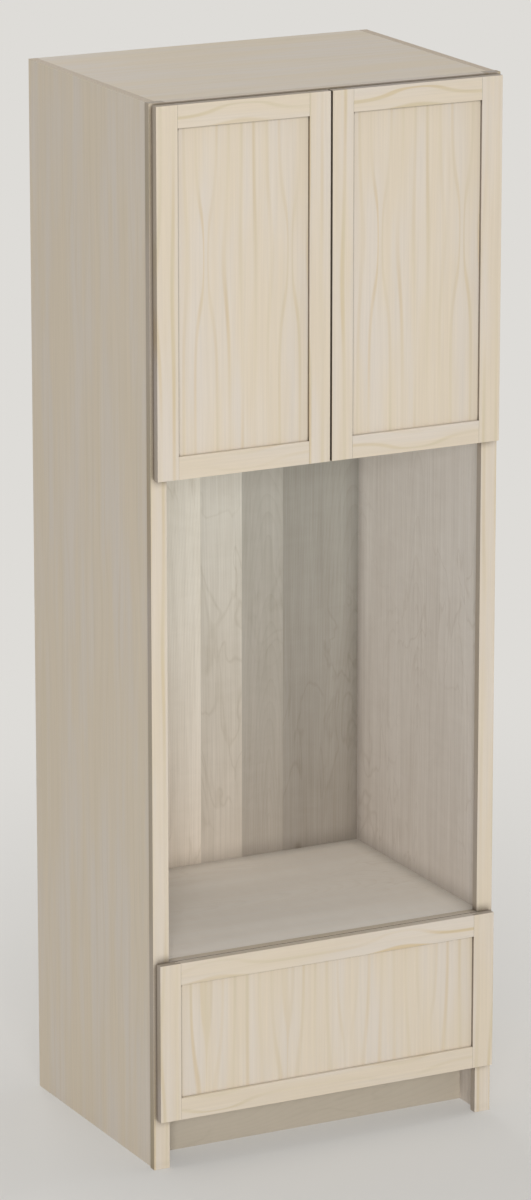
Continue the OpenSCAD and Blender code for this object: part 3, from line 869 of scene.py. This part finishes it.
class CABINET_OT_face_frame(bpy.types.Operator):
    """Dresses the stiles and rails of the face frame in solid maple"""

    bl_idname = "cabinet.face_frame"
    bl_label = "Face frame"

    # board axes, first seed, figure moved across, streaks, painted shade on the edges
    stiles = (UPRIGHT_FRONT, 3.1, (27 * MM, -27 * MM), 1.2, 1.0)
    rails = (LEVEL_FRONT, 20.4, (-77 * MM,) * 4, 1.0, 0.25)
    seed_step = 7
    painted_shade_reach = 22 * MM

    def execute(self, context):
        for names, how in ((FRAME_STILES, self.stiles), (FRAME_RAILS, self.rails)):
            axes, first_seed, shifts, strength, edge = how
            for turn, (name, shift) in enumerate(zip(names, shifts)):
                seed = first_seed + self.seed_step * turn
                member(name, axes, seed, shift, strength, edge, self.painted_shade_reach)
        soften(FRAME_STILES + FRAME_RAILS, context.scene.cabinet_wood.arris)
        return {"FINISHED"}


class CABINET_OT_doors(bpy.types.Operator):
    """Dresses both cupboard doors: stiles, rails and flat panels"""

    bl_idname = "cabinet.doors"
    bl_label = "Doors"

    waist_height = 2.023
    waist_from_middle = 13 * MM
    first_seed = 50.2
    door_seed_step = 31
    seed_step = 5
    # both panels are cut one after the other from one flitch, so they look alike
    panel_seed = 110.0
    panel_seed_step = 0.15
    # piece, board axes, figure moved across, streaks, painted shade on the edges, reach of painted
    # corner shade
    members = (
        ("hinge_stile", UPRIGHT_FRONT, 31 * MM, 1.3, 1.0, 14 * MM),
        ("meeting_stile", UPRIGHT_FRONT, 20 * MM, 1.3, 1.0, 14 * MM),
        ("bottom_rail", LEVEL_FRONT, 77 * MM, 1.0, 0.0, 2 * MM),
        ("top_rail", LEVEL_FRONT, -77 * MM, 2.2, 1.0, 6 * MM),
    )

    def execute(self, context):
        names = []
        for turn, side in enumerate(SIDES):
            door = f"{side}_door_"
            for count, (part, axes, *how) in enumerate(self.members):
                names.append(door + part)
                seed = self.first_seed + self.door_seed_step * turn + self.seed_step * count
                member(door + part, axes, seed, *how)
            name = door + "panel"
            centre = middle(name)
            centre.x += self.waist_from_middle
            centre.z = self.waist_height
            seed = self.panel_seed + self.panel_seed_step * turn
            sanded_maple(name, UPRIGHT_FRONT, centre, seed, PANEL_REACH, lean=PANEL_LEAN)
            names.append(name)
        soften(names, context.scene.cabinet_wood.arris)
        return {"FINISHED"}


class CABINET_OT_drawer_front(bpy.types.Operator):
    """Dresses the drawer front: stiles, rails and flat panel"""

    bl_idname = "cabinet.drawer_front"
    bl_label = "Drawer front"

    waist_height = 0.150
    # piece, board axes, figure moved across, streaks, painted shade on the edges, reach of painted
    # corner shade
    members = (
        ("left_stile", UPRIGHT_FRONT, 31 * MM, 1.0, 1.0, 14 * MM),
        ("right_stile", UPRIGHT_FRONT, -31 * MM, 1.0, 1.0, 14 * MM),
        ("top_rail", LEVEL_FRONT, -77 * MM, 2.0, 0.2, 6 * MM),
        ("bottom_rail", LEVEL_FRONT, 77 * MM, 1.0, 0.0, 2 * MM),
    )
    arcs_from_middle = 181 * MM
    waist_from_middle = 149 * MM
    first_seed = 140.9
    seed_step = 6
    panel_seed = 171.0
    panel_streaks = 0.8

    def execute(self, context):
        names = []
        for turn, (part, axes, *how) in enumerate(self.members):
            names.append("drawer_" + part)
            along = self.arcs_from_middle if axes == LEVEL_FRONT else 0.0
            seed = self.first_seed + self.seed_step * turn
            member("drawer_" + part, axes, seed, *how, along=along)
        centre = middle("drawer_panel")
        centre.x += self.waist_from_middle
        centre.z = self.waist_height
        sanded_maple(
            "drawer_panel",
            UPRIGHT_FRONT,
            centre,
            self.panel_seed,
            PANEL_REACH,
            strength=self.panel_streaks,
            lean=PANEL_LEAN,
        )
        soften(names + ["drawer_panel"], context.scene.cabinet_wood.arris)
        return {"FINISHED"}


class CABINET_OT_case(bpy.types.Operator):
    """Dresses the case: side panels, top and toe board"""

    bl_idname = "cabinet.case"
    bl_label = "Case"

    # piece, board axes, side that shows outside, seed
    boards = (
        ("side_panel_left", UPRIGHT_SIDE, -1, 200.3),
        ("side_panel_right", UPRIGHT_SIDE, 1, 209.3),
        ("top_panel", LEVEL_FLAT, 1, 218.3),
    )
    toe_seed = 240.0

    def execute(self, context):
        names = ["toe_board"]
        for name, axes, shown, seed in self.boards:
            names.append(name)
            faced_plywood("maple", name, axes, seed, WALL_VENEER, shown=shown, foot=SIDE_FOOT_PAINTED_SHADE)
        faced_plywood(
            "maple", "toe_board", LEVEL_FRONT, self.toe_seed, TOE_VENEER, reach=OUTSIDE_REACH
        )
        soften(names, context.scene.cabinet_wood.arris)
        return {"FINISHED"}


class CABINET_OT_recess(bpy.types.Operator):
    """Dresses the oven recess and the boards inside in sliced maple plywood"""

    bl_idname = "cabinet.recess"
    bl_label = "Oven recess and inside boards"

    first_leaf = -424 * MM
    # from the left, seen from the front
    leaf_tones = (0.62, 0.55, 0.72, 0.93, 0.735, 0.52, 0.42, 0.43)
    back_seed = 260.0
    first_seed = 280.5
    seed_step = 8

    def execute(self, context):
        faced_plywood(
            "maple",
            "back_panel",
            UPRIGHT_FRONT,
            self.back_seed,
            BACK_VENEER,
            shown=1,
            leaves=self.leaf_tones,
            start=self.first_leaf,
            foot=BACK_FOOT_PAINTED_SHADE,
        )
        boards = [(name, LEVEL_FLAT) for name in LEVEL_BOARDS]
        boards += [(name, LEVEL_FRONT) for name in CROSS_RAILS]
        boards += [(name, LEVEL_SIDE) for name in RUNNING_BACK]
        for turn, (name, axes) in enumerate(boards):
            veneer = DECK_VENEER if name == "oven_deck" else None
            faced_plywood("maple", name, axes, self.first_seed + self.seed_step * turn, veneer)
        names = ["back_panel"] + [name for name, axes in boards]
        soften(names, context.scene.cabinet_wood.arris)
        return {"FINISHED"}


class CABINET_OT_drawer_box(bpy.types.Operator):
    """Dresses the drawer box in birch plywood"""

    bl_idname = "cabinet.drawer_box"
    bl_label = "Drawer box"

    first_seed = 360.1
    seed_step = 8

    def execute(self, context):
        walls = [(name, LEVEL_SIDE) for name in BOX_SIDES]
        walls += [(name, LEVEL_FRONT) for name in BOX_ENDS]
        walls += [("box_bottom", LEVEL_FLAT)]
        for turn, (name, axes) in enumerate(walls):
            seed = self.first_seed + self.seed_step * turn
            faced_plywood("birch", name, axes, seed, BIRCH_VENEER, BIRCH_PLIES)
        soften([name for name, axes in walls], context.scene.cabinet_wood.arris)
        return {"FINISHED"}


class CABINET_OT_hinges(bpy.types.Operator):
    """Dresses the hinge cups, arms and pins, and the shelf pins, in nickel plate"""

    bl_idname = "cabinet.hinges"
    bl_label = "Hinges and shelf pins"

    def execute(self, context):
        # Pressing leaves it smooth and the plate bright: a warm silver with soft highlights,
        # only a little clouded where the sheet was drawn deepest.
        nickel = plated_metal(
            "nickel-plated pressed steel",
            context.scene.cabinet_metal.nickel,
            rough=0.3,
            grain=3.0,
            mark=(1, 1, 1),
            relief=0.006,
            dulled=0.93,
        )
        dress(HINGE_PARTS, nickel)
        return {"FINISHED"}


class CABINET_OT_slides(bpy.types.Operator):
    """Dresses the drawer slides in zinc plate and their balls in polished steel"""

    bl_idname = "cabinet.slides"
    bl_label = "Drawer slides"

    def execute(self, context):
        metal = context.scene.cabinet_metal
        # Rolling draws fine lines along it, drawn 1 mm wide so that they show. The zinc is
        # cool, bluish and satin, with broad pale and dull clouds.
        zinc = plated_metal(
            "zinc-plated rolled steel",
            metal.zinc,
            rough=0.34,
            grain=1.0,
            mark=(1, 0.04, 1),
            relief=0.02,
            dulled=0.88,
        )
        # Ground and polished: each ball is a bright point in a dark channel.
        polished = plated_metal(
            "polished ball steel",
            metal.ball,
            rough=0.12,
            grain=0.6,
            mark=(1, 1, 1),
            relief=0.002,
            dulled=0.97,
        )
        dress(SLIDE_MEMBERS, zinc)
        dress(BALL_ROWS, polished)
        return {"FINISHED"}


class CABINET_OT_screws(bpy.types.Operator):
    """Dresses every screw in zinc plate"""

    bl_idname = "cabinet.screws"
    bl_label = "Screws"

    def execute(self, context):
        # Cold-headed and barrel-plated: pale and slightly yellow, with small dull knocks.
        screw = plated_metal(
            "zinc-plated screw steel",
            context.scene.cabinet_metal.screw,
            rough=0.3,
            grain=1.0,
            mark=(1, 1, 1),
            relief=0.008,
            dulled=0.9,
        )
        dress(SCREWS, screw)
        return {"FINISHED"}


class CABINET_OT_bumpers(bpy.types.Operator):
    """Dresses the door and drawer bumpers in clear polyurethane"""

    bl_idname = "cabinet.bumpers"
    bl_label = "Bumpers"

    def execute(self, context):
        dress(BUMPERS, clear_polyurethane())
        return {"FINISHED"}


class CABINET_OT_stage(bpy.types.Operator):
    """Builds the floor, the soft lamps and the camera"""

    bl_idname = "cabinet.stage"
    bl_label = "Floor, lamps and camera"

    floor_radius = 60.0
    floor_sides = 96
    floor_near = 0.7
    floor_far = 3.5
    room_seen = 0.8
    # side of the lamp, where it stands, its place and the height over the origin it faces
    lamps = (
        (4.8, "front", (-5.6, -12.0, 3.6), 1.2),
        (3.0, "left", (-6.5, -0.5, 1.6), 1.2),
        (3.0, "right", (6.5, -0.5, 1.6), 1.2),
        (3.0, "back", (0.8, 6.5, 2.0), 1.2),
        (3.0, "top", (0.0, 0.0, 6.5), 2.3),
    )

    def execute(self, context):
        stage = context.scene.cabinet_stage
        self.lay_floor(context, stage)
        for size, side, place, aim_height in self.lamps:
            lamp = bpy.data.lights.new(f"{side}_softbox", "AREA")
            lamp.shape = "SQUARE"
            lamp.size = size
            lamp.energy = getattr(stage, f"{side}_lamp")
            holder = bpy.data.objects.new(lamp.name, lamp)
            holder.location = place
            holder.visible_camera = False
            aim = Vector((0, 0, aim_height)) - Vector(place)
            holder.rotation_euler = aim.to_track_quat("-Z", "Y").to_euler()
            context.scene.collection.objects.link(holder)
        self.fill_room(context, stage)
        self.place_camera(context)
        context.scene.view_settings.view_transform = "Standard"
        return {"FINISHED"}

    def lay_floor(self, context, stage):
        """A wide round floor that keeps the shadow and fades into the pale room."""
        count = self.floor_sides
        radius = self.floor_radius
        points = [(0.0, 0.0, 0.0)]
        for i in range(count):
            turn = math.tau * i / count
            points.append((radius * math.cos(turn), radius * math.sin(turn), 0.0))
        faces = [(0, 1 + i, 1 + (i + 1) % count) for i in range(count)]
        mesh = bpy.data.meshes.new("studio_floor")
        mesh.from_pydata(points, [], faces)
        floor = bpy.data.objects.new("studio_floor", mesh)
        context.scene.collection.objects.link(floor)
        mesh.materials.append(self.floor_material(stage))

    def seen_share(self, tree):
        """1 on what the camera sees, directly, in a reflection or through a piece."""
        light_path = add(tree, "LightPath", out=None).outputs
        seen = 0.0
        for label in ("Is Camera Ray", "Is Glossy Ray", "Is Transmission Ray"):
            seen = add(tree, "Math", {0: light_path[label], 1: seen}, operation="MAXIMUM")
        return seen

    def floor_material(self, stage):
        """Painted studio floor: matt and pale; far off, the eye sees only its pale colour."""
        material, tree, shader = new_material("matt studio floor paint")
        place = add(tree, "TexCoord", out="Object")
        mottle = add(tree, "TexNoise", {"Vector": place, "Scale": 6.0, "Detail": 4.0})
        rough = add(tree, "MapRange", {"Value": mottle, "To Min": 0.7, "To Max": 0.85})
        feed(tree, shader, {"Base Color": stage.floor, "Roughness": rough})
        feed(tree, shader, {"Specular IOR Level": 0.1})
        glow = add(tree, "Emission", {"Color": stage.floor, "Strength": 1.0})
        distance = add(tree, "VectorMath", {0: place}, out="Value", operation="LENGTH")
        limits = {"From Min": self.floor_near, "From Max": self.floor_far, "To Min": 0.35}
        fade = {"Value": distance, **limits}
        far = add(tree, "MapRange", fade, interpolation_type="SMOOTHSTEP")
        share = add(tree, "Math", {0: self.seen_share(tree), 1: far}, operation="MULTIPLY")
        blend = add(tree, "MixShader", {0: share, 1: shader.outputs[0], 2: glow})
        output = next(n for n in tree.nodes if n.bl_idname == "ShaderNodeOutputMaterial")
        tree.links.new(blend, output.inputs["Surface"])
        return material

    def fill_room(self, context, stage):
        """Even light from all round; the eye and reflections see a pale room."""
        world = bpy.data.worlds.new("pale studio")
        world.use_nodes = True
        tree = world.node_tree
        tree.nodes.clear()
        limits = {"To Min": stage.room_light, "To Max": self.room_seen}
        strength = add(tree, "MapRange", {"Value": self.seen_share(tree), **limits})
        light = add(tree, "Background", {"Color": (1, 1, 1, 1), "Strength": strength})
        add(tree, "OutputWorld", {"Surface": light}, out=None)
        context.scene.world = world

    def place_camera(self, context):
        """The camera at the photograph's own viewing angle."""
        camera = bpy.data.cameras.new("photo_camera")
        camera.sensor_fit = "VERTICAL"
        camera.sensor_width = SENSOR
        camera.sensor_height = SENSOR
        camera.lens = FOCAL_PIXELS / PHOTO_LONG_SIDE * SENSOR
        holder = bpy.data.objects.new("photo_camera", camera)
        holder.location = CAMERA_PLACE
        holder.rotation_euler = (math.radians(90 + CAMERA_PITCH), 0.0, math.radians(-CAMERA_YAW))
        context.scene.collection.objects.link(holder)
        context.scene.camera = holder


class CABINET_PT_finishes(bpy.types.Panel):
    """Lists the steps that dress the cabinet"""

    bl_idname = "CABINET_PT_finishes"
    bl_label = "Cabinet finishes"
    bl_space_type = "VIEW_3D"
    bl_region_type = "UI"
    bl_category = "Cabinet"

    def draw(self, context):
        column = self.layout.column(align=True)
        for step in STEPS:
            column.operator(step.bl_idname)
        for settings in (
            context.scene.cabinet_wood,
            context.scene.cabinet_metal,
            context.scene.cabinet_stage,
        ):
            column = self.layout.column()
            for key in type(settings).__annotations__:
                column.prop(settings, key)


STEPS = (
    CABINET_OT_face_frame,
    CABINET_OT_doors,
    CABINET_OT_drawer_front,
    CABINET_OT_case,
    CABINET_OT_recess,
    CABINET_OT_drawer_box,
    CABINET_OT_hinges,
    CABINET_OT_slides,
    CABINET_OT_screws,
    CABINET_OT_bumpers,
    CABINET_OT_stage,
)
SETTINGS = (
    ("cabinet_wood", WoodSettings),
    ("cabinet_metal", MetalSettings),
    ("cabinet_stage", StageSettings),
)


def register():
    for name, group in SETTINGS:
        bpy.utils.register_class(group)
        setattr(bpy.types.Scene, name, PointerProperty(type=group))
    for step in STEPS + (CABINET_PT_finishes,):
        bpy.utils.register_class(step)


def unregister():
    for step in reversed(STEPS + (CABINET_PT_finishes,)):
        bpy.utils.unregister_class(step)
    for name, group in reversed(SETTINGS):
        delattr(bpy.types.Scene, name)
        bpy.utils.unregister_class(group)


def main():
    register()
    make_streaks()
    make_sliced()
    for step in STEPS:
        group, name = step.bl_idname.split(".")
        getattr(getattr(bpy.ops, group), name)()


if __name__ == "__main__":
    main()
